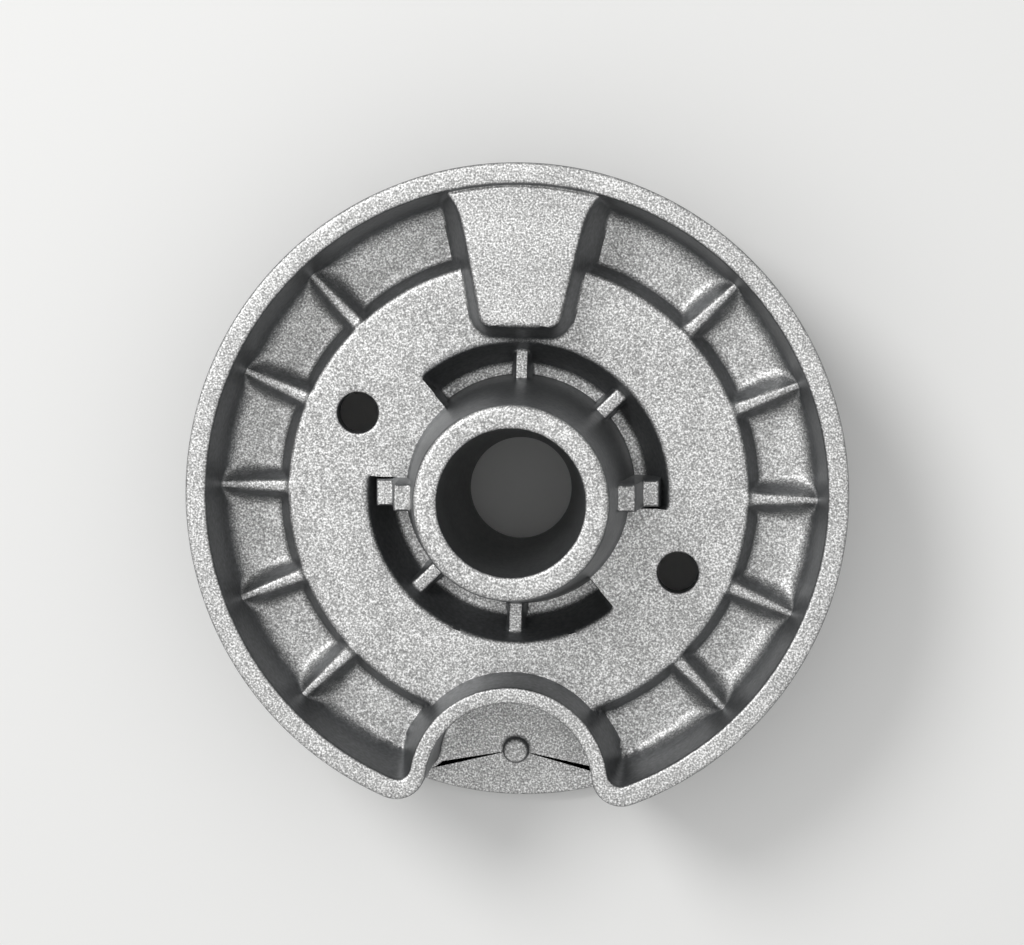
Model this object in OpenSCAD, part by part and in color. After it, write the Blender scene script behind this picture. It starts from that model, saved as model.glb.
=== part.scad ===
// Gas burner base: one aluminium die casting, lying flame side down.
// The origin is on the venturi axis at the flame side plane, +Z runs up the venturi tube.
// The spark plug notch faces -Y and the wedge pad faces +Y.

/* [Body] */
// Radius of the outer wall at the seating rim
outer_r = 31.5; // [29.5:0.5:34]
// Amount by which the outer wall is smaller at the flame side (draft)
outer_draft = 0.3; // [0:0.1:0.8]
// Height of the seating rim above the flame side
rim_z = 17; // [16:0.5:20]
// Width of the flat land on the seating rim
land_w = 2; // [1.4:0.1:3]
// Radius of the rounded edges of the rim
rim_edge = 0.35; // [0.1:0.05:0.6]
// Depth of the floor plate below the seating rim
floor_depth = 4.8; // [3:0.2:6]
// Thickness of the floor plate
floor_t = 2.6; // [2:0.2:3.4]

/* [Pockets and ribs] */
// Radius where the floor plate ends and the ring of pockets begins
pocket_in_r = 22.1; // [21:0.1:23.5]
// Depth of the pockets below the floor plate
pocket_depth = 3.2; // [2:0.2:4]
// Radius of the fillet between a pocket's bottom and the outer wall
pocket_fillet = 2.4; // [1.2:0.2:3]
// Slope of the pocket walls (horizontal run over the pocket's depth)
pocket_slope = 1.2; // [0.4:0.1:1.6]
// Angle between neighbouring ribs
rib_pitch = 22.5; // [22.5:7.5:30]
// Angle from the X axis to the last rib on each side
rib_span = 45; // [22.5:22.5:45]
// Width of a rib at its top
rib_top_w = 1.2; // [0.8:0.1:1.8]
// Width of a rib at the pocket's bottom
rib_base_w = 2.6; // [2:0.1:3.4]
// Drop of a rib's top below the floor plate
rib_drop = 0.4; // [0.2:0.1:1]

/* [Venturi tube] */
// Height of the tube's mouth above the seating rim
tube_rise = 8.6; // [5:0.2:14]
// Outer radius of the tube at its mouth
tube_mouth_r = 9.1; // [8.6:0.1:10]
// Growth of the tube's outer radius for each millimetre down (draft)
tube_draft = 0.115; // [0.05:0.005:0.12]
// Radius of the bore at the mouth
bore_r = 6.8; // [6:0.1:7.4]
// Length of the straight bore at the mouth
bore_len = 3; // [2:0.5:5]
// Radius of the throat
throat_r = 5; // [4:0.1:5.6]
// Height of the throat above the flame side
throat_z = 5.3; // [4.6:0.1:6]
// Radius of the venturi outlet where it opens into the chamber
outlet_r = 7.8; // [6.5:0.1:8.4]
// Height of the outlet's lip above the flame side
outlet_z = 2; // [1:0.2:3]

/* [Groove round the tube] */
// Outer radius of the groove at the floor plate
groove_r = 14.5; // [14:0.1:14.8]
// Outer radius of the groove at its bottom
groove_bottom_r = 12.6; // [12.2:0.1:13.2]
// Depth of the groove below the floor plate
groove_depth = 5.3; // [4:0.1:6]
// Angle where the first groove arc starts
groove_start = -5.5; // [-8:0.5:-4]
// Angle covered by each groove arc
groove_sweep = 137; // [120:1:140]
// Width of the small ribs across the groove
web_w = 1.5; // [1:0.1:2]
// Depth of the small ribs below the floor plate
web_drop = 2; // [1:0.2:3]

/* [Stepped lugs on the tube] */
// Width of a lug
lug_w = 2.55; // [2:0.05:3.2]
// Turn of the lugs from the X axis
lug_turn = 1.4; // [0:0.2:3]
// Height of the upper step above the seating rim
lug_rise = 2; // [1:0.2:3]
// Outer radius of the upper step
lug_step_r = 11.4; // [11:0.1:11.6]
// Outer radius of the lower step
lug_r = 13.6; // [13:0.1:13.8]

/* [Wedge pad] */
// Depth of the pad's face below the seating rim
pad_drop = 0.6; // [0.3:0.1:1.5]
// Distance of the pad's inner end from the axis
pad_in_y = 16; // [15.8:0.1:17]
// Half width of the pad at its inner end
pad_in_w = 3.75; // [3:0.05:4.5]
// Half width of the pad at the rim
pad_out_w = 6.6; // [6:0.1:7]
// Radius of the pad's inner corners
pad_corner = 0.9; // [0.5:0.1:1.4]
// Slope of the pad's sides (horizontal run for each millimetre down)
pad_slope = 0.27; // [0.15:0.01:0.3]

/* [Spark plug notch] */
// Distance of the notch's centre from the axis
notch_y = 27.8; // [27:0.1:28.6]
// Radius of the notch
notch_r = 8; // [7.4:0.1:8.6]
// Thickness of the notch's wall at the seating rim
notch_wall = 1.55; // [1.2:0.05:2]
// Growth of the notch wall's outer radius down to the pocket's bottom
notch_draft = 1.3; // [0.6:0.1:1.6]
// Radius of the rounded lobes on both sides of the notch's mouth
lobe_r = 2.85; // [2:0.05:3.2]
// Radius of the inner corners between the notch wall and the outer wall
corner_r = 1.6; // [1:0.1:2]
// Thickness of the ledge that roofs the notch at the flame side
ledge_t = 2; // [1.4:0.1:3]
// Radius of the pip on the ledge
pip_r = 1.2; // [0.8:0.1:1.6]
// Height of the pip on the ledge
pip_h = 0.8; // [0.4:0.1:1.2]
// Distance of the pip from the axis
pip_y = 26.7; // [25:0.1:28]

/* [Screw holes] */
// Radius of a screw hole
screw_r = 1.95; // [1.6:0.05:2.2]
// Diameter of the circle through the screw holes
screw_pcd = 34.5; // [33:0.5:36]
// Angle of the first screw hole
screw_angle = 155; // [150:1:158]
// Depth of the rounding at a screw hole's edge
screw_edge = 0.35; // [0.2:0.05:0.5]

/* [Flame side] */
// Radius where the ring of flame ports begins
port_ring_r = 24.8; // [24:0.1:26]
// Width of a flame port
port_w = 1.6; // [1:0.1:2]
// Depth of a flame port
port_depth = 5.4; // [3:0.2:6]
// Angle between neighbouring flame ports
port_pitch = 11.25; // [9:0.75:15]
// Thickness of the walls behind the groove and the notch
back_wall = 2; // [1.4:0.1:2.6]

/* [Hidden] */
$fn = 96;
e = 0.01;
arc_steps = 6;
floor_z = rim_z - floor_depth;
pocket_z = floor_z - pocket_depth;
groove_z = floor_z - groove_depth;
plate_under_z = floor_z - floor_t;
tube_top_z = rim_z + tube_rise;
rim_in_r = outer_r - land_w;
pad_z = rim_z - pad_drop;
ribs = [for (s = [0, 180], k = [-rib_span : rib_pitch : rib_span]) s + k];
web_angles = [for (s = [0, 180], a = [45, 90]) s + a];
port_count = floor(360 / port_pitch);
notch_half_angle = 24;

// Outer radius of the tube at height z
function tube_r(z) = tube_mouth_r + tube_draft * (tube_top_z - z);

// Points of an arc about c with radius r from angle a0 to a1
function arc(c, r, a0, a1, n = arc_steps) =
    [for (i = [0 : n]) c + r * [cos(a0 + (a1 - a0) * i / n), sin(a0 + (a1 - a0) * i / n)]];

// Centre of a circle that lies da from the origin and db from the point [0, -d], on the +X side
function touch_centre(da, db, d) =
    let (y = (db * db - da * da - d * d) / (2 * d)) [sqrt(da * da - y * y), y];

function angle_of(p) = atan2(p[1], p[0]);

// Turn from angle a0 to angle a1, the short way round
function short_turn(a0, a1) = let (d = a1 - a0) d > 180 ? d - 360 : d < -180 ? d + 360 : d;

// Full turn of an outline, with its seam between two ribs
module round_body() {
    rotate([0, 0, 1.5 * rib_pitch + 33.75]) rotate_extrude() children();
}

// Solid blank of the casting up to the seating rim, with its rounded outer edge
module blank() {
    round_body()
        polygon(concat(
            [[0, 0], [outer_r - outer_draft, 0]],
            arc([outer_r - rim_edge, rim_z - rim_edge], rim_edge, 0, 90),
            [[0, rim_z]]));
}

// Space above the floor plate and in the ring of pockets, before anything stands in it
module basin_space() {
    out_r = rim_in_r - 0.6;
    wall_r = out_r - pocket_fillet;
    round_body()
        polygon(concat(
            [[0, floor_z], [pocket_in_r - 0.3, floor_z]],
            arc([pocket_in_r - 0.3, floor_z - 0.5], 0.5, 90, 20),
            [[pocket_in_r + pocket_slope - 0.4, pocket_z + 0.5]],
            arc([pocket_in_r + pocket_slope + 0.6, pocket_z + 0.8], 0.8, 225, 270),
            arc([wall_r, pocket_z + pocket_fillet], pocket_fillet, 270, 360),
            arc([rim_in_r + rim_edge, rim_z - rim_edge], rim_edge, 180, 90),
            [[rim_in_r + rim_edge, rim_z + 1], [0, rim_z + 1]]));
}

// Rib between two pockets: a radial bar with sloping sides and a narrow top
module rib(a) {
    top_z = floor_z - rib_drop;
    half_base = rib_base_w / 2;
    half_top = rib_top_w / 2;
    rotate([0, 0, a])
        translate([pocket_in_r - 1.5, 0, 0])
            rotate([90, 0, 90])
                linear_extrude(rim_in_r - pocket_in_r + 1.5)
                    polygon([
                        [-half_base - 0.7, pocket_z - e], [half_base + 0.7, pocket_z - e],
                        [half_base, pocket_z + 0.7], [half_top, top_z - 0.2],
                        [half_top - 0.2, top_z], [0.2 - half_top, top_z],
                        [-half_top, top_z - 0.2], [-half_base, pocket_z + 0.7]]);
}

// Outline of the wedge pad, widened by g on every side
module pad_outline(g) {
    out_y = rim_in_r + 0.5;
    c = pad_corner;
    polygon(concat(
        [[pad_out_w + g, out_y], [-pad_out_w - g, out_y]],
        arc([c - pad_in_w - g, pad_in_y + c - g], c, 190, 270),
        arc([pad_in_w - c + g, pad_in_y + c - g], c, 270, 350)));
}

// Wedge pad: its face is near the rim's level and its sides slope down into the pockets
module wedge_pad() {
    hull() {
        translate([0, 0, pad_z - e]) linear_extrude(e) pad_outline(0);
        translate([0, 0, pocket_z - 1]) linear_extrude(e) pad_outline(pad_slope * (pad_z - pocket_z + 1));
    }
}

// Outer side of the wall round the notch, with the rounded corners where it meets the outer wall
module notch_wall_body() {
    wall_r = notch_r + notch_wall;
    translate([0, -notch_y, 0])
        round_body()
            polygon([[0, 0], [wall_r + notch_draft, 0], [wall_r + notch_draft, pocket_z], [wall_r, rim_z], [0, rim_z]]);
    c = touch_centre(rim_in_r - corner_r, wall_r + corner_r, notch_y);
    a_wall = angle_of([0, -notch_y] - c);
    a_rim = angle_of(c);
    for (m = [0, 1])
        mirror([m, 0, 0])
            linear_extrude(rim_z)
                polygon(concat(
                    arc(c, corner_r, a_wall, a_wall + short_turn(a_wall, a_rim), 10),
                    [(outer_r - 0.6) * [cos(a_rim), sin(a_rim)], [0, -notch_y]]));
}

// Outline of the open notch: a round end and a mouth that opens over two rounded lobes
module notch_outline() {
    c = touch_centre(outer_r - lobe_r, notch_r + lobe_r, notch_y);
    a_in = angle_of([0, -notch_y] - c);
    a_out = angle_of(c);
    a_end = angle_of(c - [0, -notch_y]);
    far = outer_r + 3;
    right = arc(c, lobe_r, a_in, a_in + short_turn(a_in, a_out), 12);
    left = [for (i = [len(right) - 1 : -1 : 0]) [-right[i][0], right[i][1]]];
    polygon(concat(
        right,
        [[c[0] + lobe_r, -far], [-c[0] - lobe_r, -far]],
        left,
        arc([0, -notch_y], notch_r, 180 - a_end, a_end, 36)));
}

// One of the two groove arcs round the tube
module groove_space(a) {
    rotate([0, 0, a])
        rotate_extrude(angle = groove_sweep)
            polygon(concat(
                [[tube_mouth_r - 1, groove_z]],
                arc([groove_bottom_r - 0.5, groove_z + 0.5], 0.5, 270, 340, 4),
                arc([groove_r + 0.35, floor_z - 0.4], 0.4, 160, 90, 4),
                [[groove_r + 0.35, floor_z + e], [tube_mouth_r - 1, floor_z + e]]));
}

// Small rib across the groove, as high as half the groove's depth
module groove_web(a) {
    rotate([0, 0, a])
        translate([tube_mouth_r - 0.5, 0, groove_z - 0.5])
            rotate([90, 0, 90])
                linear_extrude(groove_bottom_r - tube_mouth_r + 1.6)
                    polygon([
                        [-web_w / 2 - 0.2, 0], [web_w / 2 + 0.2, 0],
                        [web_w / 2, groove_depth - web_drop + 0.5], [-web_w / 2, groove_depth - web_drop + 0.5]]);
}

// Stepped lug on the tube's side: the upper step stands over the rim, the lower one over the floor
module lug(a) {
    step_z = floor_z + 0.5;
    rotate([0, 0, a])
        translate([0, lug_w / 2, 0])
            rotate([90, 0, 0])
                linear_extrude(lug_w)
                    polygon([
                        [tube_mouth_r - 1, groove_z - 0.5], [lug_r + 0.5, groove_z - 0.5],
                        [lug_r, step_z], [lug_step_r + 0.7, step_z],
                        [lug_step_r, rim_z + lug_rise], [tube_mouth_r - 1, rim_z + lug_rise]]);
}

// Outside of the venturi tube, drafted down to the groove's bottom
module tube_body() {
    foot_z = groove_z - back_wall;
    round_r = 0.6;
    round_body()
        polygon(concat(
            [[0, foot_z], [tube_r(foot_z), foot_z]],
            arc([tube_mouth_r - round_r, tube_top_z - round_r], round_r, 0, 90),
            [[0, tube_top_z]]));
}

// Venturi bore: straight mouth, taper to the throat, then the outlet that widens to the chamber
module venturi_bore() {
    lip = 0.4;
    straight_z = tube_top_z - lip - bore_len;
    round_body()
        polygon(concat(
            [[0, -1], [outlet_r + 1.2, -1], [outlet_r + 1.2, outlet_z - 0.4], [outlet_r, outlet_z]],
            [[throat_r, throat_z - 0.6], [throat_r, throat_z]],
            [[bore_r, straight_z]],
            arc([bore_r + lip, tube_top_z - lip], lip, 180, 90, 4),
            [[bore_r + lip, tube_top_z + 1], [0, tube_top_z + 1]]));
}

// Screw hole with a rounded edge on the floor plate
module screw_hole(a) {
    rotate([0, 0, a])
        translate([screw_pcd / 2, 0, 0]) {
            translate([0, 0, -1]) cylinder(r = screw_r, h = floor_z + 2);
            translate([0, 0, floor_z - screw_edge])
                cylinder(r1 = screw_r, r2 = screw_r + screw_edge, h = screw_edge + e);
        }
}

// Mixing chamber on the flame side: a ring-shaped space round the collar behind the grooves
module chamber_space() {
    shell_z = pocket_z - back_wall;
    round_body()
        polygon([
            [outlet_r + 3.6, -1], [port_ring_r, -1], [port_ring_r - 0.2, shell_z],
            [pocket_in_r - 0.4, shell_z], [pocket_in_r - 1.6, plate_under_z],
            [outlet_r + 4.4, plate_under_z]]);
}

// Collar that keeps metal behind one groove arc
module groove_back(a) {
    grow = 4;
    rotate([0, 0, a - grow])
        rotate_extrude(angle = groove_sweep + 2 * grow)
            polygon([
                [0, groove_z - back_wall], [groove_bottom_r + back_wall - 0.4, groove_z - back_wall],
                [groove_r + back_wall, plate_under_z + e], [0, plate_under_z + e]]);
}

// Metal behind the notch inside the chamber
module notch_back() {
    translate([0, -notch_y, -1]) cylinder(r = notch_r + back_wall, h = plate_under_z + 1 + e);
}

// Recess behind the wedge pad, open to the chamber
module pad_recess() {
    in = 1.9;
    translate([0, 0, -1])
        linear_extrude(pad_z - 2.4 + 1)
            polygon([
                [pad_out_w - in - 1, port_ring_r - 0.5], [-pad_out_w + in + 1, port_ring_r - 0.5],
                [-pad_in_w + in - 0.4, pad_in_y + in], [pad_in_w - in + 0.4, pad_in_y + in]]);
}

// Flame ports: radial slots through the ring, left out where the notch is
module flame_ports() {
    for (i = [0 : port_count - 1]) {
        a = 90 + (i + 0.5) * port_pitch;
        from_notch = abs(short_turn(a % 360, 270));
        if (from_notch > notch_half_angle)
            rotate([0, 0, a])
                translate([port_ring_r - 1.5, -port_w / 2, -1])
                    cube([outer_r - port_ring_r + 3, port_w, port_depth + 1]);
    }
}

// Round pip on the notch's ledge
module pip() {
    translate([0, -pip_y, ledge_t - e])
        round_body()
            polygon(concat([[0, 0], [pip_r + 0.15, 0]], arc([pip_r - 0.2, pip_h - 0.2], 0.2, 0, 90, 3), [[0, pip_h]]));
}

// Everything that stands in the basin above the pockets' bottoms
module standing_walls() {
    for (a = ribs) rib(a);
    wedge_pad();
    notch_wall_body();
}

// Upper side of the casting: basin, pockets, ribs, pad, grooves and notch
module upper_side() {
    difference() {
        blank();
        difference() {
            basin_space();
            standing_walls();
        }
        for (a = [groove_start, groove_start + 180]) groove_space(a);
        translate([0, 0, ledge_t]) linear_extrude(rim_z) notch_outline();
    }
}

// Flame side cavities, with the metal that stays behind the grooves and the notch
module flame_side_space() {
    difference() {
        chamber_space();
        for (a = [groove_start, groove_start + 180]) groove_back(a);
        notch_back();
    }
    difference() {
        pad_recess();
        for (a = [groove_start, groove_start + 180]) groove_back(a);
    }
    flame_ports();
}

module burner_base() {
    color("silver")
        difference() {
            union() {
                upper_side();
                tube_body();
                for (a = web_angles) groove_web(a);
                for (a = [lug_turn, lug_turn + 180]) lug(a);
                pip();
            }
            flame_side_space();
            venturi_bore();
            for (a = [screw_angle, screw_angle + 180]) screw_hole(a);
        }
}

burner_base();
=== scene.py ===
"""Looks of the gas burner base: one blasted aluminium casting that lies flame side down on a plain pale table."""

import math

import bmesh
import bpy
import numpy as np
from mathutils import Matrix, Vector


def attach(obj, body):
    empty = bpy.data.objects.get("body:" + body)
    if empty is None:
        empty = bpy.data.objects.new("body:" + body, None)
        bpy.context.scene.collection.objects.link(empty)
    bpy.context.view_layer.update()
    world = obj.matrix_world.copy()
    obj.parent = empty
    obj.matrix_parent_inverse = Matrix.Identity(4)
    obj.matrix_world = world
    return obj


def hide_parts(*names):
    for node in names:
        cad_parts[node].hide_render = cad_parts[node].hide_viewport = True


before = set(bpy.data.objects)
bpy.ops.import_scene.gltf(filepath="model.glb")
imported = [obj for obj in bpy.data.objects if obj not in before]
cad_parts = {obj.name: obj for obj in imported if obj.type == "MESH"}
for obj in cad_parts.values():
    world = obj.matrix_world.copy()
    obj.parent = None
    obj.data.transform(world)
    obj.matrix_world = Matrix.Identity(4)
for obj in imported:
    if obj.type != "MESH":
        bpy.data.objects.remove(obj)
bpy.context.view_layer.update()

bl_info = {
    "name": "Gas Burner Base",
    "version": (1, 0, 0),
    "blender": (4, 5, 0),
    "location": "View3D > Sidebar > Burner",
    "description": "Builds the cast burner base, its blasted aluminium finish, and the stage",
    "category": "Add Mesh",
}

MM = 0.001
NODE = "burner_base"

RIB_ANGLES = [s + k for s in (0, 180) for k in (-45, -22.5, 0, 22.5, 45)]
WEB_ANGLES = [45, 90, 225, 270]
LUG_ANGLES = [1.4, 181.4]
GROOVE_ARCS = [(-5.5, 131.5), (174.5, 311.5)]
PORT_ANGLES = [90 + (i + 0.5) * 11.25 for i in range(32) if abs((90 + (i + 0.5) * 11.25) % 360 - 270) > 24]


class CastingSizes(bpy.types.PropertyGroup):
    """Sizes of the casting in millimetres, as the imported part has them."""

    outer_r: bpy.props.FloatProperty(name="Outer radius", description="Outer wall at the seating rim", default=31.5)
    outer_draft: bpy.props.FloatProperty(name="Outer draft", description="How much the wall shrinks downwards", default=0.3)
    rim_z: bpy.props.FloatProperty(name="Rim height", description="Seating rim above the flame side", default=17.0)
    land_w: bpy.props.FloatProperty(name="Land width", description="Flat land on the rim", default=2.0)
    edge_r: bpy.props.FloatProperty(name="Edge radius", description="Rounding of the rim's edges", default=0.35)
    floor_z: bpy.props.FloatProperty(name="Floor height", description="Floor plate above the flame side", default=12.2)
    pocket_z: bpy.props.FloatProperty(name="Pocket height", description="Pocket bottoms above the flame side", default=9.0)
    groove_z: bpy.props.FloatProperty(name="Groove height", description="Groove bottoms above the flame side", default=6.9)
    tube_z: bpy.props.FloatProperty(name="Tube height", description="Top of the venturi tube", default=25.6)
    notch_y: bpy.props.FloatProperty(name="Notch distance", description="Notch centre to the tube's axis", default=27.8)
    notch_r: bpy.props.FloatProperty(name="Notch radius", description="Inner radius of the notch", default=8.0)
    notch_wall: bpy.props.FloatProperty(name="Notch wall", description="Thickness of the wall round the notch", default=1.55)
    ledge_z: bpy.props.FloatProperty(name="Ledge height", description="Top of the ledge in the notch", default=2.0)


class FinishLook(bpy.types.PropertyGroup):
    """Colour and grain of the blasted aluminium, and the darker colour painted on its steep walls as shade."""

    metal: bpy.props.FloatVectorProperty(
        name="Metal", description="Colour of the blasted faces", subtype="COLOR", size=3,
        min=0.0, max=1.0, default=(0.55, 0.55, 0.545))
    # wall: colour of the steep walls, much darker than the metal. The dark tone is painted shade; their smoother finish
    # is real.
    wall: bpy.props.FloatVectorProperty(
        name="Walls", description="Colour of the smooth steep walls", subtype="COLOR", size=3,
        min=0.0, max=1.0, default=(0.17, 0.175, 0.18))
    grain: bpy.props.FloatProperty(name="Grain", description="Grains per metre", default=5600.0)
    contrast: bpy.props.FloatProperty(name="Contrast", description="How strongly the grains sparkle", default=3.6)


class StageLook(bpy.types.PropertyGroup):
    """Table and light."""

    table: bpy.props.FloatVectorProperty(
        name="Table", description="Colour of the table", subtype="COLOR", size=3,
        min=0.0, max=1.0, default=(0.80, 0.80, 0.79))
    key: bpy.props.FloatProperty(name="Main light", description="Power of the main lamp", default=1.6, unit="POWER")
    sky: bpy.props.FloatProperty(name="Room light", description="Strength of the room's light", default=0.9)


# Curves and heights. All of these work in millimetres on whole arrays.


def arc(cx, cy, r, a0, a1, n=6):
    """Points of a circle's arc: centre plus radius times cosine and sine of an angle that runs evenly from a0 to a1."""
    a = np.radians(np.linspace(a0, a1, n + 1))
    return list(zip(cx + r * np.cos(a), cy + r * np.sin(a)))


def along(d, points):
    """Height at distance d on a broken line through the points, level past its ends."""
    p = np.array(sorted(points))
    return np.interp(d, p[:, 0], p[:, 1])


def blend_max(a, b, k):
    """The larger of two heights, with a parabola of reach k where they meet."""
    h = np.clip(k - np.abs(a - b), 0, None) / k
    return np.maximum(a, b) + h * h * k / 4


def blend_min(a, b, k):
    """The smaller of two heights, with a parabola of reach k where they meet."""
    return -blend_max(-a, -b, k)


def ease(x):
    """Rises from 0 to 1 over the unit interval with level ends."""
    x = np.clip(x, 0, 1)
    return x * x * (3 - 2 * x)


def bar_coords(x, y, angle):
    """Distance along a radial line at this angle and across it."""
    a = math.radians(angle)
    return x * math.cos(a) + y * math.sin(a), -x * math.sin(a) + y * math.cos(a)


def pad_half_width(y):
    """Half width of the wedge pad's face, which grows outwards and flares into the outer wall."""
    return np.interp(y, [10, 16.5, 18, 20, 22, 24, 26, 27, 28, 29, 30],
                     [2.6, 3.8, 4.1, 4.5, 4.95, 5.35, 5.85, 6.2, 6.85, 7.7, 8.6])


def pad_distance(x, y):
    """Distance outside the pad's outline: a box with slanted sides and rounded inner corners."""
    c = 0.9
    qx = (np.abs(x) - pad_half_width(y)) * 0.98 + c
    qy = 16.0 - y + c
    return np.hypot(np.maximum(qx, 0), np.maximum(qy, 0)) + np.minimum(np.maximum(qx, qy), 0) - c


def rib_half_top(r):
    """Half width of a rib's top, which gets narrower outwards."""
    return np.interp(r, [22, 29], [0.62, 0.32])


def rib_half_base(r):
    return np.interp(r, [22, 29], [1.25, 1.5])


def wall_distance(x, y, s):
    """Distance into the basin from the inner edge of the rim and of the notch wall, with rounded corners.
    Also gives how far the point belongs to the notch wall rather than to the rim."""
    d1 = s.outer_r - s.land_w - np.hypot(x, y)
    d2 = np.hypot(x, y + s.notch_y) - s.notch_r - s.notch_wall
    c = 1.6
    d = np.maximum(c, np.minimum(d1, d2)) - np.hypot(np.maximum(c - d1, 0), np.maximum(c - d2, 0))
    share = ease(np.maximum(d1, 0.001) / (np.maximum(d1, 0.001) + np.maximum(d2, 0.001)))
    return d, share


def upper_height(x, y, s):
    """Height of the upper side over a point: the floor and pocket profile by radius, cut by the groove arcs,
    and raised by ribs, pad, walls, tube, webs and lugs, each a profile over its own distance."""
    r = np.hypot(x, y)
    fz, pz, gz, rz = s.floor_z, s.pocket_z, s.groove_z, s.rim_z
    h = along(r, [(0, fz)] + arc(21.75, fz - 0.6, 0.6, 90, 20) + arc(23.9, pz + 0.8, 0.8, 222, 270) + [(40, pz)])
    t = np.degrees(np.arctan2(y, x)) % 360
    for a0, a1 in GROOVE_ARCS:
        inside = ((t - a0) % 360)
        span = a1 - a0
        edge = np.minimum(inside, span - inside)
        edge = np.where(inside > span, -np.minimum(inside - span, 360 - inside), edge) * np.radians(1) * r
        g = along(r, [(0, gz)] + arc(12.1, gz + 0.5, 0.5, 270, 335, 4)
                  + arc(14.9, fz - 0.45, 0.45, 155, 90, 5) + [(15.0, fz), (16, fz + 6)])
        g = g + along(edge, [(-0.2, 9), (0.0, 5.2), (0.05, 4.9), (0.16, 0.5), (0.3, 0.12), (0.5, 0)])
        h = blend_min(h, g, 0.12)
    for a in RIB_ANGLES:
        u, v = bar_coords(x, y, a)
        v = np.abs(v)
        ht, hb = rib_half_top(r), rib_half_base(r)
        top = fz - 0.4 - 0.25 * ease((r - 22) / 6)
        q = np.where(v < ht, v / ht * 0.5, 0.5 + (v - ht) / (hb - ht) * 0.5)
        rise = along(q, [(0, 0), (0.3, -0.01), (0.42, -0.05), (0.5, -0.18), (0.56, -0.5)])
        down = np.maximum(q - 0.56, 0) / 0.44 * (top - pz - 0.5 - 0.6)
        rib = top + rise - down - np.maximum(22 - u, 0) * 4
        h = blend_max(h, np.where(u > 15, rib, -50), 1.1)
    d = pad_distance(x, y)
    pad_z = rz - 0.6
    pad = along(d, [(-9, pad_z), (-0.3, pad_z), (-0.12, pad_z - 0.05), (0, pad_z - 0.2),
                    (0.06, pad_z - 0.42), (3.06, pad_z - 0.42 - 3 / 0.27)])
    pad = np.where(y > 10, pad, -50)
    h = blend_max(h, pad, 0.9)
    d, share = wall_distance(x, y, s)
    outer = along(d, [(-9, rz)] + arc(-s.edge_r, rz - s.edge_r, s.edge_r, 90, 0, 5)
                  + arc(3.0, pz + 2.4, 2.4, 180, 270, 9) + [(3.6, pz - 0.4), (12, pz - 12)])
    notch = along(d, [(-9, rz)] + arc(-0.3, rz - 0.3, 0.3, 90, 15, 4) + [(1.3, pz), (2.6, pz - 8)])
    h = blend_max(h, outer * (1 - share) + notch * share, 0.7)
    h = h - 0.16 * np.exp(-((r - 29.32) / 0.12) ** 2) * ease((7.6 - np.abs(x)) / 1.0) * (y > 20)
    tube = along(r, [(6.0, s.tube_z)] + [(8.45, s.tube_z)] + arc(8.5, s.tube_z - 0.6, 0.6, 88, 5, 5)
                 + [(9.1 + 0.115 * (s.tube_z - gz - 0.4), gz + 0.4), (12.6, -3)])
    h = blend_max(h, tube, 0.5)
    for a in WEB_ANGLES:
        u, v = bar_coords(x, y, a)
        web = along(np.abs(v), [(0, 10.2), (0.5, 10.17), (0.68, 10.0), (0.75, 9.7), (0.95, gz + 0.2), (1.3, gz - 4)])
        h = blend_max(h, np.where((u > 8) & (u < 15.5), web, -50), 0.35)
    for a in LUG_ANGLES:
        u, v = bar_coords(x, y, a)
        lug = along(u, [(5, rz + 2), (11.2, rz + 2), (11.34, rz + 1.92), (11.42, rz + 1.7), (12.03, 12.9), (12.12, 12.7),
                        (13.45, 12.68), (13.6, 12.5), (13.68, 12.0), (14.1, gz - 0.4), (16, -30)])
        side = along(np.abs(v), [(0, 0), (1.1, 0), (1.2, -0.05), (1.275, -0.2), (1.44, -13), (2.5, -60)])
        h = blend_max(h, np.where(u > 8, lug + side, -50), 0.12)
    return h


def lower_height(x, y, s):
    """Height of the flame side over a point: bottom land, flame ports, mixing chamber, metal behind the grooves
    and the notch, and the recess behind the pad."""
    r = np.hypot(x, y)
    t = np.degrees(np.arctan2(y, x)) % 360
    roof = along(r, [(0, 0), (11.4, 0), (12.2, 9.6), (20.5, 9.6), (21.7, 7.0), (24.55, 7.0), (24.8, 0), (40, 0)])
    for a0, a1 in GROOVE_ARCS:
        inside = (t - a0 + 4) % 360
        near = np.where(inside < a1 - a0 + 8, 0, 1)
        solid = along(r, [(0, 4.9), (14.2, 4.9), (16.5, 9.6), (16.6, 30)]) + 40 * near
        roof = np.minimum(roof, solid)
    pad = np.maximum(np.abs(x) - np.interp(y, [18, 24.3], [2.2, 3.7]), np.maximum(18 - y, y - 24.5))
    recess = along(pad, [(-9, 14.0), (-0.2, 13.9), (0.7, 0.0)])
    recess = np.where((y > 15) & (r < 24.7), recess, 0)
    roof = np.maximum(roof, recess)
    back = np.hypot(x, y + s.notch_y)
    roof = np.where(back < 14, np.minimum(roof, along(back, [(0, 0), (10, 0), (11, 9.6), (14, 14)])), roof)
    ring = ease((r - 24.6) / 0.2)
    slot = np.zeros_like(r)
    for a in PORT_ANGLES:
        u, v = bar_coords(x, y, a)
        slot = np.maximum(slot, np.where(u > 0, along(np.abs(v), [(0, 5.4), (0.8, 5.35), (0.92, 0)]), 0))
    return np.maximum(roof, slot * (r > 24.0))


# Columns: each row of the surface has the same number of columns, and their angles follow the features.


def spread(indices, angles, n):
    """Angles of n + 1 columns that pass through the given angles at the given column numbers."""
    return np.interp(np.arange(n + 1), indices, angles)


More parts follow.
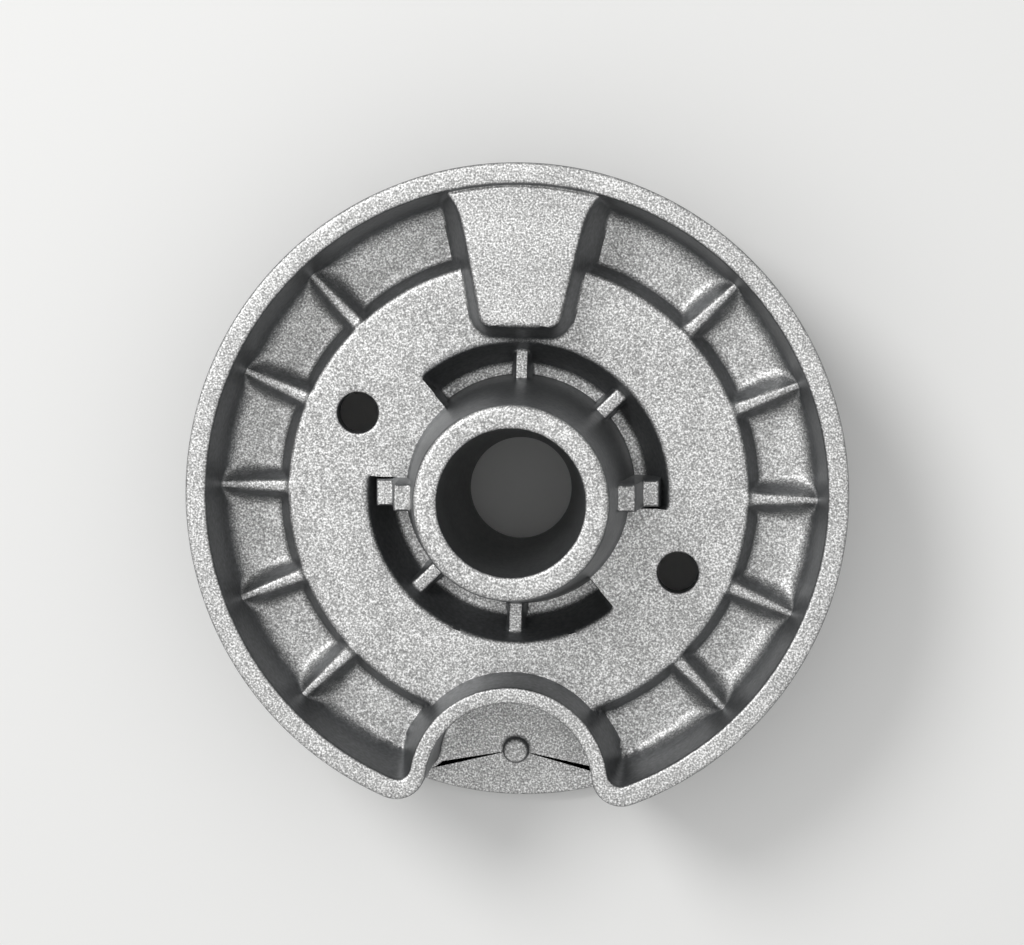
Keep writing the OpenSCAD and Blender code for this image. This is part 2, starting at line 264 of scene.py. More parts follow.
class Columns:
    """Angles of the surface's columns for a row at radius r, in three zones: ribs, groove and flame ports."""

    half_sector = 25.5
    notch_columns = 56
    arc_columns = 4

    def __init__(self):
        self.start = 270 + self.half_sector - 360
        self.end = 270 - self.half_sector
        lines = [("side", self.start, 0.0)]
        for a in RIB_ANGLES[:5]:
            lines += self.rib_lines(a)
        lines += [("pad", 90, q) for q in (-4, -2, -1, 1, 2, 4)]
        for a in RIB_ANGLES[5:]:
            lines += self.rib_lines(a)
        lines.append(("side", self.end, 0.0))
        self.lines = lines
        at = self.line_angles(25.0)
        gap = np.diff(at) * np.radians(1) * 25.0
        steps = np.maximum(1, np.round(gap / 0.43)).astype(int)
        names = [(lines[k][0], lines[k + 1][0], lines[k][2], lines[k + 1][2]) for k in range(len(gap))]
        for k, (n0, n1, q0, q1) in enumerate(names):
            if n0 == n1 == "rib" and gap[k] < 1.4:
                steps[k] = {1: 1, 2: 1, 3: 4, 4: 3}[int(max(abs(q0), abs(q1)))]
            if n0 == n1 == "pad" and {abs(q0), abs(q1)} == {2, 4}:
                steps[k] = 8
            if n0 == n1 == "pad" and {abs(q0), abs(q1)} == {1, 2}:
                steps[k] = 2
        self.indices = np.concatenate([[0], np.cumsum(steps)])
        self.regular = int(self.indices[-1])
        self.total = self.regular + self.notch_columns
        self.inner_numbers, self.inner_order = self.number(self.inner_lines(13.0))
        self.port_numbers, self.port_order = self.number(self.port_lines(28.0))

    def rib_lines(self, a):
        return [("rib", a, q) for q in (-4, -3, -2, -1, 0, 1, 2, 3, 4)]

    def line_angles(self, r):
        """Angles of the feature lines in the rib zone at radius r."""
        ht, hb = rib_half_top(r), rib_half_base(r)
        rib = {0: 0.0, 1: ht * 0.55, 2: ht, 3: hb, 4: 2.3}
        y = np.linspace(12, 30.5, 80)
        w = pad_half_width(y)
        edge = np.interp(r, np.hypot(w, y), w)
        edge = min(edge, 0.27 * r)
        pad = {1: edge - 0.4, 2: edge, 4: min(edge + 2.3, 0.36 * r)}
        out = []
        for kind, a, q in self.lines:
            if kind == "side":
                out.append(a)
            elif kind == "rib":
                out.append(a + math.copysign(math.degrees(math.asin(rib[abs(q)] / r)), q) * (q != 0))
            else:
                out.append(a + math.copysign(math.degrees(math.asin(pad[abs(q)] / r)), q))
        return np.array(out)

    def outer(self, r):
        """Column angles of the rib zone: regular columns, then the notch's columns evenly."""
        a = np.interp(np.arange(self.regular + 1), self.indices, self.line_angles(r))
        return np.concatenate([a, self.notch_angles()[1:]])

    def notch_angles(self):
        """Angles of the notch sector's columns: a few beside each lobe and the rest across the mouth."""
        n, k = self.notch_columns, self.arc_columns
        return np.interp(np.arange(n + 1), [0, k, n - k, n],
                         [self.end, 270 - self.touch(), 270 + self.touch(), 270 + self.half_sector])

    @staticmethod
    def touch():
        """Angle from the notch's middle to where a lobe touches the outer wall."""
        c = touch_centre(31.5 - 2.85, 8.0 + 2.85, 27.8)
        return math.degrees(math.atan2(c[0], -c[1]))

    def inner_lines(self, r):
        """Angles of the lugs, webs and groove ends at radius r."""
        def half(w):
            return math.degrees(math.asin(w / r))
        out = [self.start]
        for k, base in enumerate((0, 180)):
            lug = LUG_ANGLES[k]
            low = lug - half(1.44)
            out += [min(GROOVE_ARCS[k][0] - 0.2, low - 0.9), min(GROOVE_ARCS[k][0] + 0.45, low - 0.3)]
            out += [low, lug - half(1.275), lug - half(1.1)]
            out += [lug + half(1.1), lug + half(1.275), lug + half(1.44)]
            for web in (45, 90):
                sides = ((-1, 0.95), (-1, 0.75), (-1, 0.5), (1, 0.5), (1, 0.75), (1, 0.95))
                out += [base + web + sign * half(w) for sign, w in sides]
            end = GROOVE_ARCS[k][1]
            out += [end - half(0.16), end, end + 0.3]
        out = [a - 360 if a > self.start + 360 else a for a in out]
        return np.array(sorted(out + [self.end, self.start + 360]))

    def port_lines(self, r):
        """Angles of the flame ports' sides at radius r."""
        out = [self.start]
        for a in sorted((p if p < self.end + 1 else p - 360) for p in PORT_ANGLES):
            sides = ((-1, 0.93), (-1, 0.79), (1, 0.79), (1, 0.93))
            out += [a + sign * math.degrees(math.asin(w / r)) for sign, w in sides]
        out += list(self.notch_angles())
        return np.array(sorted(out))

    def number(self, angles):
        """Column numbers for feature angles: the nearest column of the rib zone, each one used once."""
        order = np.argsort(angles, kind="stable")
        want = np.interp(angles[order], self.outer(22.0), np.arange(self.total + 1))
        got = np.round(want).astype(int)
        fixed = {0: 0, len(got) - 1: self.total}
        ends = np.where(np.abs(angles[order] - self.end) < 1e-9)[0]
        if len(ends):
            fixed[int(ends[0])] = self.regular
        for k, v in fixed.items():
            got[k] = v
        marks = sorted(fixed)
        for lo, hi in zip(marks[:-1], marks[1:]):
            for k in range(lo + 1, hi):
                got[k] = max(got[k], got[k - 1] + 1)
            for k in range(hi - 1, lo, -1):
                got[k] = min(got[k], got[k + 1] - 1)
        return got, order

    def inner(self, r):
        return spread(self.inner_numbers, self.inner_lines(r)[self.inner_order], self.total)

    def ports(self, r):
        return spread(self.port_numbers, self.port_lines(r)[self.port_order], self.total)


def touch_centre(da, db, d):
    """Centre of a circle that lies da from the axis and db from the notch's centre, on the +X side."""
    y = (db * db - da * da - d * d) / (2 * d)
    return np.array([math.sqrt(da * da - y * y), y])


def ring_points(r, angles):
    a = np.radians(angles)
    return r * np.cos(a), r * np.sin(a)


class Patches:
    """Collects grids of points and welds them into one closed mesh."""

    def __init__(self):
        self.points = []
        self.faces = []
        self.count = 0

    def grid(self, p, hole=None):
        """Adds a grid of points, shape rows x columns x 3, without the cells in hole = (row0, row1, col0, col1)."""
        rows, cols = p.shape[:2]
        ids = np.arange(rows * cols).reshape(rows, cols) + self.count
        f = np.stack([ids[:-1, :-1], ids[:-1, 1:], ids[1:, 1:], ids[1:, :-1]], -1)
        keep = np.ones(f.shape[:2], bool)
        for r0, r1, c0, c1 in hole or ():
            keep[r0:r1, c0:c1] = False
        self.points.append(p.reshape(-1, 3))
        self.faces.append(f[keep])
        self.count += rows * cols

    def weld(self):
        """Merges points nearer than a tenth of a micron and drops faces that have collapsed."""
        p = np.concatenate(self.points)
        f = np.concatenate(self.faces)
        _, first, back = np.unique(np.round(p * 5000).astype(np.int64), axis=0, return_index=True, return_inverse=True)
        p = p[first]
        f = back.reshape(-1)[f]
        same = f == np.roll(f, -1, axis=1)
        quads = f[same.sum(1) == 0]
        quads = quads[(quads[:, 0] != quads[:, 2]) & (quads[:, 1] != quads[:, 3])]
        tris = []
        for k in range(4):
            pick = f[(same.sum(1) == 1) & same[:, k]]
            tris.append(np.delete(pick, k, axis=1))
        return p, quads, np.concatenate(tris)


def loft(curves, shares):
    """Rows of points between two curves at the given shares of the way."""
    a, b = curves
    t = np.asarray(shares)[:, None, None]
    return a[None] * (1 - t) + b[None] * t


def outline(c, s):
    """The part of the outer outline that goes round the notch, from +X to -X, with its normals into the metal.
    It is a bit of the outer circle, a lobe, the notch's circle, a lobe and the outer circle again."""
    k = c.arc_columns
    lobe_n = 12
    count = 2 * c.side_rows + c.notch_columns
    r = s.outer_r
    lobe = touch_centre(r - 2.85, s.notch_r + 2.85, s.notch_y)
    touch = math.degrees(math.atan2(lobe[1], lobe[0]))
    a = np.radians(np.linspace(c.start, touch, k + 1))
    first = np.stack([r * np.cos(a), r * np.sin(a)], -1)
    n_first = -first / r
    to_notch = math.degrees(math.atan2(-s.notch_y - lobe[1], -lobe[0]))
    a = np.radians(np.linspace(touch, to_notch, lobe_n + 1))[1:]
    second = lobe + 2.85 * np.stack([np.cos(a), np.sin(a)], -1)
    n_second = (lobe - second) / 2.85
    phi = math.degrees(math.atan2(lobe[1] + s.notch_y, lobe[0]))
    half = count // 2 - k - lobe_n
    a = np.radians(np.linspace(phi, 90, half + 1))[1:]
    third = np.stack([s.notch_r * np.cos(a), -s.notch_y + s.notch_r * np.sin(a)], -1)
    n_third = (third - np.array([0, -s.notch_y])) / s.notch_r
    p = np.concatenate([first, second, third])
    n = np.concatenate([n_first, n_second, n_third])
    flip = np.array([-1.0, 1.0])
    return np.concatenate([p, p[-2::-1] * flip]), np.concatenate([n, n[-2::-1] * flip])


def land_edge(c, s):
    """Inner edge of the land beside the notch, point for point with the outline: circle, rounded corner, notch wall."""
    k, lobe_n = c.arc_columns, 12
    count = 2 * c.side_rows + c.notch_columns
    r = s.outer_r - s.land_w
    wall = s.notch_r + s.notch_wall
    corner = touch_centre(r - 1.6, wall + 1.6, s.notch_y)
    a0 = math.degrees(math.atan2(corner[1], corner[0]))
    a = np.radians(np.linspace(c.start, a0, k + 1))
    first = np.stack([r * np.cos(a), r * np.sin(a)], -1)
    a1 = math.degrees(math.atan2(-s.notch_y - corner[1], -corner[0]))
    a = np.radians(np.linspace(a0, a1, lobe_n + 1))[1:]
    second = corner + 1.6 * np.stack([np.cos(a), np.sin(a)], -1)
    phi = math.degrees(math.atan2(second[-1, 1] + s.notch_y, second[-1, 0]))
    a = np.radians(np.linspace(phi, 90, count // 2 - k - lobe_n + 1))[1:]
    third = np.stack([wall * np.cos(a), -s.notch_y + wall * np.sin(a)], -1)
    p = np.concatenate([first, second, third])
    return np.concatenate([p, p[-2::-1] * np.array([-1.0, 1.0])])


def with_height(xy, s):
    """Points on the upper side over these places."""
    return np.concatenate([xy, upper_height(xy[..., 0], xy[..., 1], s)[..., None]], -1)


def hole_ring(patches, block, centre, radii_heights):
    """Fills the gap between a block's edge and a round hole: rows run straight from the edge to the first circle,
    and then down the hole. Gives the last circle's points."""
    top, bottom = block
    rows = []
    d = top[:, :2] - centre
    d = d / np.linalg.norm(d, axis=1)[:, None]
    r0, z0 = radii_heights[0]
    circle = np.concatenate([centre + d * r0, np.full((len(d), 1), z0)], 1)
    rows += list(loft((top, circle), [0, 0.35, 0.7, 1.0]))
    e = bottom[:, :2] - centre
    e = e / np.linalg.norm(e, axis=1)[:, None]
    n = len(radii_heights) - 1
    for k, (r, z) in enumerate(radii_heights[1:], 1):
        m = d * (1 - k / n) + e * (k / n)
        m = m / np.linalg.norm(m, axis=1)[:, None]
        rows.append(np.concatenate([centre + m * r, np.full((len(m), 1), z)], 1))
    rows += list(loft((rows[-1], bottom), [0.5, 1.0]))
    ring = np.stack(rows)
    patches.grid(np.concatenate([ring, ring[:, :1]], 1))


def rim_of(block):
    """Points round the edge of a block of a grid, in order."""
    return np.concatenate([block[0, :-1], block[:-1, -1], block[-1, :0:-1], block[:0:-1, 0]])


def casting_surface(s):
    """The whole casting as grids: heights over rows of points that follow the walls."""
    c = Columns()
    edge = [(0.0, -0.35), (0.03, -0.22), (0.1, -0.1), (0.21, -0.03), (0.35, 0.0)]
    land = np.array([0.85, 1.35, 1.65, 1.76, 1.86, 1.94, 2.0])
    wall = np.array([29.47, 29.4, 29.3, 29.15, 29.0, 28.9, 28.84, 28.7, 28.5, 28.2, 27.85, 27.4, 26.95, 26.5])
    basin = np.array([26.0, 25.5, 25.0, 24.5, 24.1, 23.85, 23.6, 23.4, 23.25, 23.1, 22.9, 22.7, 22.5, 22.36, 22.24, 22.1, 21.92, 21.7,
                      21.3, 20.85, 20.4, 19.9, 19.4, 18.9, 18.4, 17.9, 17.4, 16.95, 16.6, 16.3, 16.05, 15.8, 15.55, 15.3, 15.1, 14.9, 14.7, 14.5, 14.35])
    seam = basin[-1]
    inner = np.array([14.35, 14.2, 14.05, 13.9, 13.75, 13.62, 13.5, 13.3, 13.1, 12.9, 12.7, 12.52, 12.38, 12.25, 12.1, 12.0, 11.85, 11.7, 11.55,
                      11.42, 11.32, 11.24, 11.14, 11.0, 10.8, 10.55, 10.3, 10.05, 9.8, 9.55, 9.35, 9.22, 9.14, 9.09, 9.02, 8.92, 8.78, 8.6, 8.4, 7.9, 7.3])
    c.side_rows = len(basin)
    patches = Patches()
    reg = slice(0, c.regular + 1)

    def outer_angles(r):
        if r >= 22:
            return c.outer(r)
        t = (22 - r) / (22 - seam)
        t = t * t * (3 - 2 * t)
        return c.outer(22.0) * (1 - t) + c.inner(seam) * t

    # outer wall's rows over the regular columns
    ports = c.ports(31.2)
    low = np.full(c.total + 1, 5.9)
    low[c.regular:] = 1.8
    low[0] = 1.8
    body = []
    rim_r = s.outer_r
    edge_z = s.rim_z - s.edge_r
    wall_shares = [0.0, 0.25, 0.5, 0.75, 0.92, 1.0]
    for q in wall_shares:
        z = low * (1 - q) + edge_z * q
        r = rim_r - s.outer_draft * (edge_z - z) / s.rim_z
        a = ports * (1 - q) + c.outer(31.5) * q
        x, y = ring_points(r, a)
        body.append(np.stack([x, y, z], -1)[reg])
    for d, dz in edge[1:]:
        x, y = ring_points(rim_r - d, c.outer(rim_r - d))
        body.append(np.stack([x, y, np.full_like(x, s.rim_z + dz)], -1)[reg])
    for r in list(rim_r - land) + list(wall) + list(basin):
        x, y = ring_points(r, outer_angles(r))
        body.append(with_height(np.stack([x, y], -1), s)[reg])
    body = np.stack(body)
    rows_before_basin = len(wall_shares) + len(edge) - 1 + len(land) + len(wall)

    # inner rows, bore and flame side over all columns
    core = []
    for r in inner:
        x, y = ring_points(r, c.inner(max(r, 9.2)))
        core.append(with_height(np.stack([x, y], -1), s))
    bore = arc(7.2, s.tube_z - 0.4, 0.4, 90, 180, 4) + [(6.8, s.tube_z - 3.4), (6.45, 19.0), (6.1, 15.6), (5.75, 12.4), (5.35, 8.6),
                                                       (5.08, 6.1), (5.0, 5.3), (5.0, 4.9), (5.1, 4.7), (7.7, 2.15), (8.0, 1.9), (9.0, 1.6), (9.0, 0.2), (9.2, 0)]
    for k, (r, z) in enumerate(bore):
        q = k / (len(bore) - 1)
        a = c.inner(9.2) * (1 - q) + c.ports(24.8) * q
        x, y = ring_points(r, a)
        core.append(np.stack([x, y, np.full_like(x, z)], -1))
    flame_rows = len(core)
    flame = [10.2, 11.3, 11.42, 11.7, 12.0, 12.2, 12.6, 13.4, 14.15, 14.3, 14.8, 15.4, 16.0, 16.45, 16.65, 17.25, 18.0, 18.8, 19.6, 20.4, 20.6, 21.1, 21.6,
             21.8, 22.6, 23.5, 24.5, 24.57, 24.65, 24.78, 24.85, 25.1, 27.5, 30.0, 31.0]
    for r in flame:
        x, y = ring_points(r, c.ports(max(r, 24.8)))
        core.append(np.stack([x, y, lower_height(x, y, s)], -1))
    x, y = ring_points(31.2, ports)
    foot = lower_height(x * 0.995, y * 0.995, s)
    core.append(np.stack([x, y, foot + 0.2 * (foot < 0.1)], -1))
    z = low
    r = rim_r - s.outer_draft * (edge_z - z) / s.rim_z
    x, y = ring_points(r, ports)
    core.append(np.stack([x, y, z], -1))
    core = np.stack(core)
    core[:, -1] = core[:, 0]

    # screw holes: a block of cells is left out above and below, and rings fill the gap
    body_holes, core_holes = [], []
    for angle in (155, 335 - 360):
        centre = 17.25 * np.array([math.cos(math.radians(angle)), math.sin(math.radians(angle))])
        row0 = rows_before_basin + int(np.argmin(np.abs(basin - 20.15)))
        row1 = len(body) - 1
        a = outer_angles(17.25)[reg]
        width = math.degrees(2.95 / 17.25)
        col0, col1 = int(np.argmin(np.abs(a - angle + width))), int(np.argmin(np.abs(a - angle - width)))
        top = rim_of(body[row0:row1 + 1, col0:col1 + 1])
        body_holes.append((row0, row1, col0, col1))
        f0 = flame_rows + flame.index(14.15)
        f1 = flame_rows + flame.index(20.4)
        cells = len(top) // 2 - (f1 - f0)
        a = c.ports(24.8)
        mid = int(np.argmin(np.abs(a - angle)))
        b0 = mid - cells // 2
        b1 = b0 + cells
        bottom = rim_of(core[f1:f0 - 1:-1, b0:b1 + 1])
        core_holes.append((f0, f1, b0, b1))
        fz = s.floor_z
        steps = [(2.25, fz), (2.12, fz - 0.02), (2.02, fz - 0.1), (1.96, fz - 0.22), (1.95, fz - 0.4), (1.95, 9.75), (2.05, 9.6)]
        hole_ring(patches, (top, bottom), centre, steps)
    patches.grid(body, body_holes)
    patches.grid(core, core_holes)

    # the sector with the notch
    line, normal = outline(c, s)
    inner_edge = land_edge(c, s)
    side = body[rows_before_basin:, 0, :]
    side_end = body[rows_before_basin:, -1, :]
    across = core[0, c.regular:][::-1]
    q_line = np.concatenate([side[:-1], across, side_end[:-1][::-1]])
    q_line = np.concatenate([body[rows_before_basin - 1:rows_before_basin, 0], q_line, body[rows_before_basin - 1:rows_before_basin, -1]])
    centre = np.array([0, -s.notch_y])
    count = len(line)
    v = q_line[:, :2] - centre
    phi_q = np.arctan2(v[:, 1], v[:, 0])
    reach_q = np.hypot(v[:, 0], v[:, 1])
    w = inner_edge - centre
    phi_b = np.arctan2(w[:, 1], w[:, 0])
    k = c.arc_columns + 12
    phi_ref = np.interp(np.arange(count), [0, k, count // 2, count - 1 - k, count - 1],
                        [phi_q[0], max(phi_q[0] + 0.09, phi_b[k] + 0.2), math.pi / 2,
                         math.pi - max(phi_q[0] + 0.09, phi_b[k] + 0.2), phi_q[-1]])
    near = np.minimum(phi_ref, math.pi - phi_ref)
    reach_c = np.interp(near, [phi_q[0], phi_q[0] + 0.25], [reach_q[0], 11.5])
    foot_line = centre + reach_c[:, None] * np.stack([np.cos(phi_ref), np.sin(phi_ref)], -1)
    foot_line[0], foot_line[-1] = q_line[0, :2], q_line[-1, :2]
    sector = []
    for d, dz in edge:
        p = line + normal * d
        sector.append(np.concatenate([p, np.full((count, 1), s.rim_z + dz)], 1))
    start = line + normal * 0.35
    for g in (land - 0.35) / (s.land_w - 0.35):
        sector.append(with_height(start * (1 - g) + inner_edge * g, s))
    for g in (29.5 - wall) / 3.0:
        sector.append(with_height(inner_edge * (1 - g) + foot_line * g, s))
    for g in [0.06, 0.14, 0.24, 0.35, 0.46, 0.57, 0.68, 0.78, 0.87, 0.94]:
        sector.append(with_height(foot_line * (1 - g) + q_line[:, :2] * g, s))
    sector.append(q_line)
    patches.grid(np.stack(sector))

    # the notch's wall down to the ledge, and the outer wall beside the lobes
    n = c.arc_columns
    step = np.hypot(*np.diff(line, axis=0).T)
    run = np.concatenate([[0], np.cumsum(step)])
    inside = np.minimum(run - run[n], run[-1 - n] - run)
    lean = np.interp(inside, [0, 4.5], [s.outer_draft / s.rim_z, -0.02])
    bottom_z = 1.8 + 0.75 * ease(inside / 1.6)
    rows = []
    for q in wall_shares:
        z = bottom_z * (1 - q) + edge_z * q
        r = rim_r - s.outer_draft * (edge_z - z) / s.rim_z
        p = line + normal * (lean * (edge_z - z))[:, None]
        on_wall = np.concatenate([np.ones(n + 1, bool), np.zeros(count - 2 * n - 2, bool), np.ones(n + 1, bool)])
        a = np.arctan2(line[:, 1], line[:, 0])
        p = np.where(on_wall[:, None], np.stack([r * np.cos(a), r * np.sin(a)], -1), p)
        rows.append(np.concatenate([p, z[:, None]], 1))
    rows = np.stack(rows)
    patches.grid(rows)

    # the ledge: rings from the notch's foot and the mouth's edge in to the pip, which ends in a pole
    foot = rows[0, n:count - n]
    mouth = core[-1, c.regular + n:c.total - n + 1]
    loop = np.concatenate([foot, mouth[1:-1]])
    pip = np.array([0.0, -26.7])
    d = loop[:, :2] - pip
    far = np.linalg.norm(d, axis=1)
    d = d / far[:, None]
    is_mouth = np.concatenate([np.zeros(len(foot)), np.ones(len(mouth) - 2)])
    is_mouth = np.maximum(is_mouth, np.concatenate([1 - ease(np.minimum(inside[n:count - n], 1.6) / 1.6), np.zeros(len(mouth) - 2)]))
    rings = [loop]
    lz = s.ledge_z
    for back, up_wall, up_mouth in ((0.06, 0.3, -0.08), (0.18, 0.12, -0.02), (0.45, 0.02, 0.0), (0.9, 0.0, 0.0)):
        up = up_wall * (1 - is_mouth) + up_mouth * is_mouth
        rings.append(np.concatenate([pip + d * (far - back)[:, None], (lz + up)[:, None]], 1))
    for q in (0.25, 0.5, 0.75, 0.9):
        reach = (far - 0.9) * (1 - q) + 1.6 * q
        rings.append(np.concatenate([pip + d * reach[:, None], np.full((len(d), 1), lz)], 1))
    for r, up in ((1.6, 0.0), (1.42, 0.02), (1.32, 0.12), (1.26, 0.35), (1.2, 0.58), (1.12, 0.7), (0.98, 0.78), (0.7, 0.8), (0.35, 0.8), (0.0, 0.8)):
        rings.append(np.concatenate([pip + d * r, np.full((len(d), 1), lz + up)], 1))
    rings = np.stack(rings)
    patches.grid(np.concatenate([rings, rings[:, :1]], 1))
    return patches.weld()


def mesh_object(name, points, quads, tris, material):
    """A mesh object at the origin from points in millimetres, with faces turned outwards and smooth shading."""
    mesh = bpy.data.meshes.new(name)
    mesh.from_pydata((points * MM).tolist(), [], quads.tolist() + tris.tolist())
    b = bmesh.new()
    b.from_mesh(mesh)
    bmesh.ops.recalc_face_normals(b, faces=b.faces)
    if b.calc_volume(signed=True) < 0:
        bmesh.ops.reverse_faces(b, faces=b.faces)
    b.to_mesh(mesh)
    b.free()
    mesh.shade_smooth()
    mesh.set_sharp_from_angle(angle=math.radians(48))
    obj = bpy.data.objects.new(name, mesh)
    bpy.context.scene.collection.objects.link(obj)
    obj.data.materials.append(material)
    return obj


# Finish


class Graph:
    """Short names for adding and joining nodes in one tree."""

    def __init__(self, tree):
        self.tree = tree

    def add(self, kind, **settings):
        node = self.tree.nodes.new(kind)
        for name, value in settings.items():
            setattr(node, name, value)
        return node

    def join(self, source, target):
        self.tree.links.new(source, target)

    def put(self, value, socket):
        if isinstance(value, bpy.types.NodeSocket):
            self.join(value, socket)
        else:
            socket.default_value = value

    def math(self, operation, *values, clamp=False):
        node = self.add("ShaderNodeMath", operation=operation, use_clamp=clamp)
        for k, value in enumerate(values):
            self.put(value, node.inputs[k])
        return node.outputs[0]

    def band(self, value, low, high, out_low=0.0, out_high=1.0):
        """Maps a value from one range to another with soft ends."""
        node = self.add("ShaderNodeMapRange", interpolation_type="SMOOTHSTEP")
        ends = (("From Min", low), ("From Max", high), ("To Min", out_low), ("To Max", out_high))
        for name, v in (("Value", value),) + ends:
            self.put(v, node.inputs[name])
        return node.outputs[0]

    def mix(self, share, a, b):
        node = self.add("ShaderNodeMix", data_type="RGBA")
        self.put(share, node.inputs[0])
        self.put(a, node.inputs[6])
        self.put(b, node.inputs[7])
        return node.outputs[2]

    def noise(self, vector, scale, detail=2.0, rough=0.5):
        node = self.add("ShaderNodeTexNoise")
        self.join(vector, node.inputs["Vector"])
        node.inputs["Scale"].default_value = scale
        node.inputs["Detail"].default_value = detail
        node.inputs["Roughness"].default_value = rough
        return node.outputs[0]


def new_group(name, inputs, outputs):
    """An empty shader node group with these (name, socket type, default) inputs and (name, socket type) outputs."""
    tree = bpy.data.node_groups.new(name, "ShaderNodeTree")
    for label, kind, value in inputs:
        socket = tree.interface.new_socket(label, in_out="INPUT", socket_type=kind)
        if value is not None:
            socket.default_value = value
    for label, kind in outputs:
        tree.interface.new_socket(label, in_out="OUTPUT", socket_type=kind)
    g = Graph(tree)
    return tree, g, g.add("NodeGroupInput").outputs, g.add("NodeGroupOutput").inputs


def grain_group():
    """Blasted grain: a brightness factor that scatters evenly about one, and a height for bump."""
    tree, g, at, to = new_group(
        "blasted_grain",
        [("Vector", "NodeSocketVector", None), ("Grains", "NodeSocketFloat", 5000.0),
         ("Contrast", "NodeSocketFloat", 3.4)],
        [("Factor", "NodeSocketFloat"), ("Height", "NodeSocketFloat")])
    fine = g.add("ShaderNodeTexNoise")
    g.join(at["Vector"], fine.inputs["Vector"])
    g.join(at["Grains"], fine.inputs["Scale"])
    fine.inputs["Detail"].default_value = 1.5
    coarse = g.noise(at["Vector"], 260.0, 2.0)
    spread_out = g.math("MULTIPLY", g.math("SUBTRACT", fine.outputs[0], 0.5), at["Contrast"])
    patchy = g.math("MULTIPLY", g.math("SUBTRACT", coarse, 0.5), 0.45)
    g.join(g.math("EXPONENT", g.math("ADD", spread_out, patchy)), to["Factor"])
    g.join(fine.outputs[0], to["Height"])
    return tree


def casting_material(look):
    """Blasted aluminium: sparkling grains on open faces, smoother on steep walls, which also get a darker colour as
    painted shade.
    """
    m = bpy.data.materials.new("blasted_aluminium")
    m.use_nodes = True
    g = Graph(m.node_tree)
    g.tree.nodes.clear()
    shader = g.add("ShaderNodeBsdfPrincipled")
    g.join(shader.outputs[0], g.add("ShaderNodeOutputMaterial").inputs[0])
    place = g.add("ShaderNodeTexCoord")
    here = place.outputs["Object"]
    facing = g.add("ShaderNodeSeparateXYZ")
    g.join(place.outputs["Normal"], facing.inputs[0])
    # Share of faces that face upwards. It sets grain, roughness and bump, and also where steep faces get the painted
    # shade colour.
    level = g.math("ABSOLUTE", facing.outputs["Z"])
    wobble = g.math("MULTIPLY", g.math("SUBTRACT", g.noise(here, 900.0, 2.0), 0.5), 0.25)
    upward_share = g.band(g.math("ADD", level, wobble), 0.42, 0.85)

    grain = g.add("ShaderNodeGroup", node_tree=grain_group())
    g.join(here, grain.inputs["Vector"])
    grain.inputs["Grains"].default_value = look.grain
    grain.inputs["Contrast"].default_value = look.contrast
    skin = g.add("ShaderNodeGroup", node_tree=grain.node_tree)
    g.join(here, skin.inputs["Vector"])
    skin.inputs["Grains"].default_value = look.grain * 0.45
    skin.inputs["Contrast"].default_value = look.contrast * 0.25

    open_faces = g.add("ShaderNodeVectorMath", operation="SCALE")
    open_faces.inputs[0].default_value = look.metal
    g.join(grain.outputs["Factor"], open_faces.inputs["Scale"])
    # Steep faces: the dark wall colour is painted shade for the light these walls miss, with a fainter real grain.
    steep_painted_shade = g.add("ShaderNodeVectorMath", operation="SCALE")
    steep_painted_shade.inputs[0].default_value = look.wall
    g.join(skin.outputs["Factor"], steep_painted_shade.inputs["Scale"])
    g.join(g.mix(upward_share, steep_painted_shade.outputs[0], open_faces.outputs[0]), shader.inputs["Base Color"])
    g.join(g.band(upward_share, 0.0, 1.0, 0.46, 0.52), shader.inputs["Roughness"])
    shader.inputs["Metallic"].default_value = 0.85
    bump = g.add("ShaderNodeBump")
    bump.inputs["Strength"].default_value = 0.5
    bump.inputs["Distance"].default_value = 0.00006
    g.join(g.math("MULTIPLY", grain.outputs["Height"], upward_share), bump.inputs["Height"])
    g.join(bump.outputs[0], shader.inputs["Normal"])
    return m


def plain_material(name, colour, rough=0.9):
    m = bpy.data.materials.new(name)
    m.use_nodes = True
    b = m.node_tree.nodes["Principled BSDF"]
    b.inputs["Base Color"].default_value = (*colour, 1)
    b.inputs["Roughness"].default_value = rough
    return m


class BURNER_OT_casting(bpy.types.Operator):
    """Builds the casting's surface and its finish."""

    bl_idname = "burner.casting"
    bl_label = "Casting"

    def execute(self, context):
        s = context.scene.casting_sizes
        material = casting_material(context.scene.finish_look)
        points, quads, tris = casting_surface(s)
        piece = mesh_object("burner_casting", points, quads, tris, material)
        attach(piece, "root")
        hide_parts(NODE)
        return {"FINISHED"}


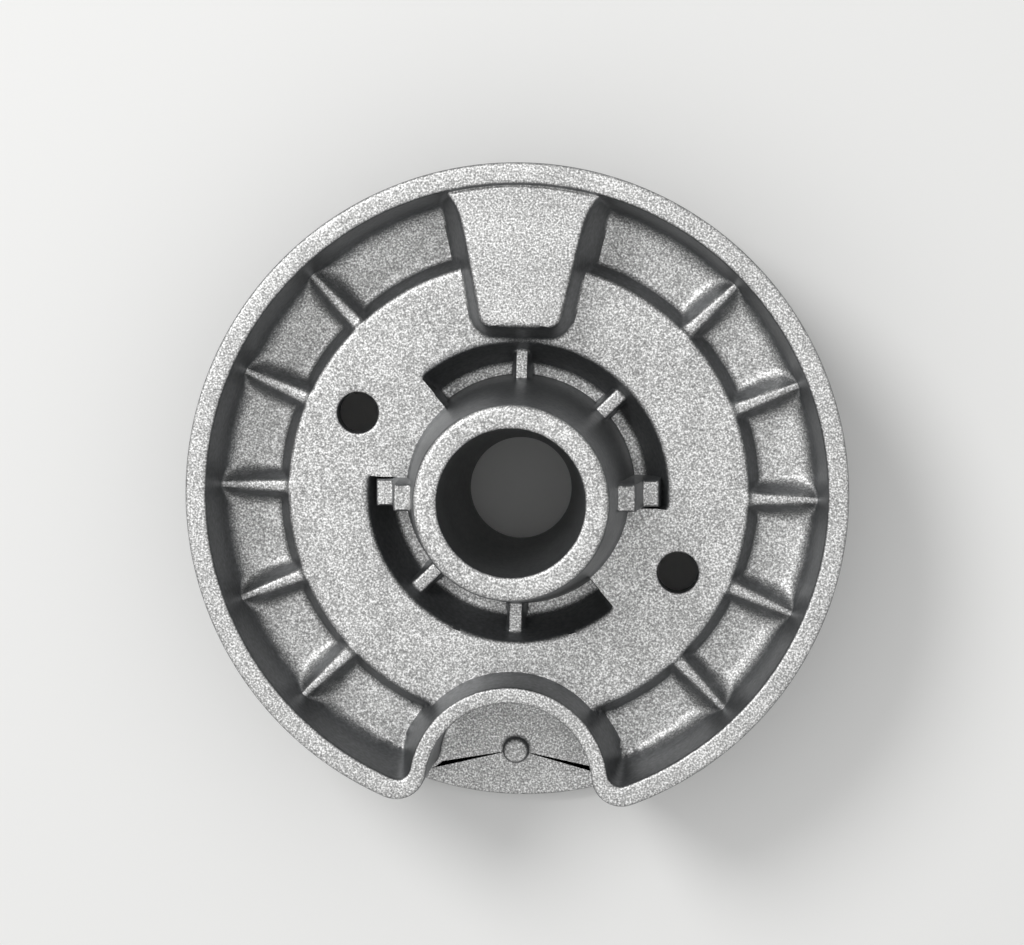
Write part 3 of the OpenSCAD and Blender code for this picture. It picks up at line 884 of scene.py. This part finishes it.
class BURNER_OT_stage(bpy.types.Operator):
    """Makes the table, the lights and the camera at the photograph's viewing angle."""

    bl_idname = "burner.stage"
    bl_label = "Stage"

    def execute(self, context):
        look = context.scene.stage_look
        table = bpy.data.meshes.new("table")
        w = 1.2
        table.from_pydata([(-w, -w, 0), (w, -w, 0), (w, w, 0), (-w, w, 0)], [], [(0, 1, 2, 3)])
        floor = bpy.data.objects.new("table", table)
        floor.location.z = -0.00002
        context.scene.collection.objects.link(floor)
        table.materials.append(plain_material("table_top", look.table))

        cam = bpy.data.cameras.new("camera")
        cam.sensor_width = 36.0
        cam.lens = 98.09
        cam.clip_start, cam.clip_end = 0.01, 10
        eye = bpy.data.objects.new("camera", cam)
        right = (0.99842, 0.02458, -0.0506)
        up = (-0.02797, 0.99734, -0.06731)
        back = (0.04881, 0.06862, 0.99645)
        place = (0.012532, 0.020388, 0.280115)
        eye.matrix_world = Matrix([[right[k], up[k], back[k], place[k]] for k in range(3)] + [[0, 0, 0, 1]])
        context.scene.collection.objects.link(eye)
        context.scene.camera = eye

        key = bpy.data.lights.new("main_light", "AREA")
        key.energy = look.key
        key.shape = "DISK"
        key.size = 0.25
        lamp = bpy.data.objects.new("main_light", key)
        lamp.location = (-0.30, 0.28, 0.42)
        d = -np.array(lamp.location)
        d = d / np.linalg.norm(d)
        lamp.rotation_mode = "QUATERNION"
        lamp.rotation_quaternion = Vector(d).to_track_quat("-Z", "Y")
        context.scene.collection.objects.link(lamp)

        world = bpy.data.worlds.new("room")
        world.use_nodes = True
        g = Graph(world.node_tree)
        bg = world.node_tree.nodes["Background"]
        bg.inputs["Color"].default_value = (1, 1, 1, 1)
        up = g.add("ShaderNodeSeparateXYZ")
        g.join(g.add("ShaderNodeTexCoord").outputs["Generated"], up.inputs[0])
        g.join(g.band(up.outputs["Z"], 0.1, 0.9, look.sky * 0.3, look.sky), bg.inputs["Strength"])
        context.scene.world = world
        context.scene.view_settings.view_transform = "Standard"
        return {"FINISHED"}


class BURNER_PT_panel(bpy.types.Panel):
    """Lists the burner base's pieces."""

    bl_label = "Gas Burner Base"
    bl_space_type = "VIEW_3D"
    bl_region_type = "UI"
    bl_category = "Burner"

    def draw(self, context):
        for piece in (BURNER_OT_casting, BURNER_OT_stage):
            self.layout.operator(piece.bl_idname, text=piece.bl_label)


CLASSES = (CastingSizes, FinishLook, StageLook, BURNER_OT_casting, BURNER_OT_stage, BURNER_PT_panel)


def register():
    for cls in CLASSES:
        bpy.utils.register_class(cls)
    bpy.types.Scene.casting_sizes = bpy.props.PointerProperty(type=CastingSizes)
    bpy.types.Scene.finish_look = bpy.props.PointerProperty(type=FinishLook)
    bpy.types.Scene.stage_look = bpy.props.PointerProperty(type=StageLook)


def unregister():
    del bpy.types.Scene.stage_look
    del bpy.types.Scene.finish_look
    del bpy.types.Scene.casting_sizes
    for cls in reversed(CLASSES):
        bpy.utils.unregister_class(cls)


def main():
    register()
    bpy.ops.burner.stage()
    bpy.ops.burner.casting()


if __name__ == "__main__":
    main()
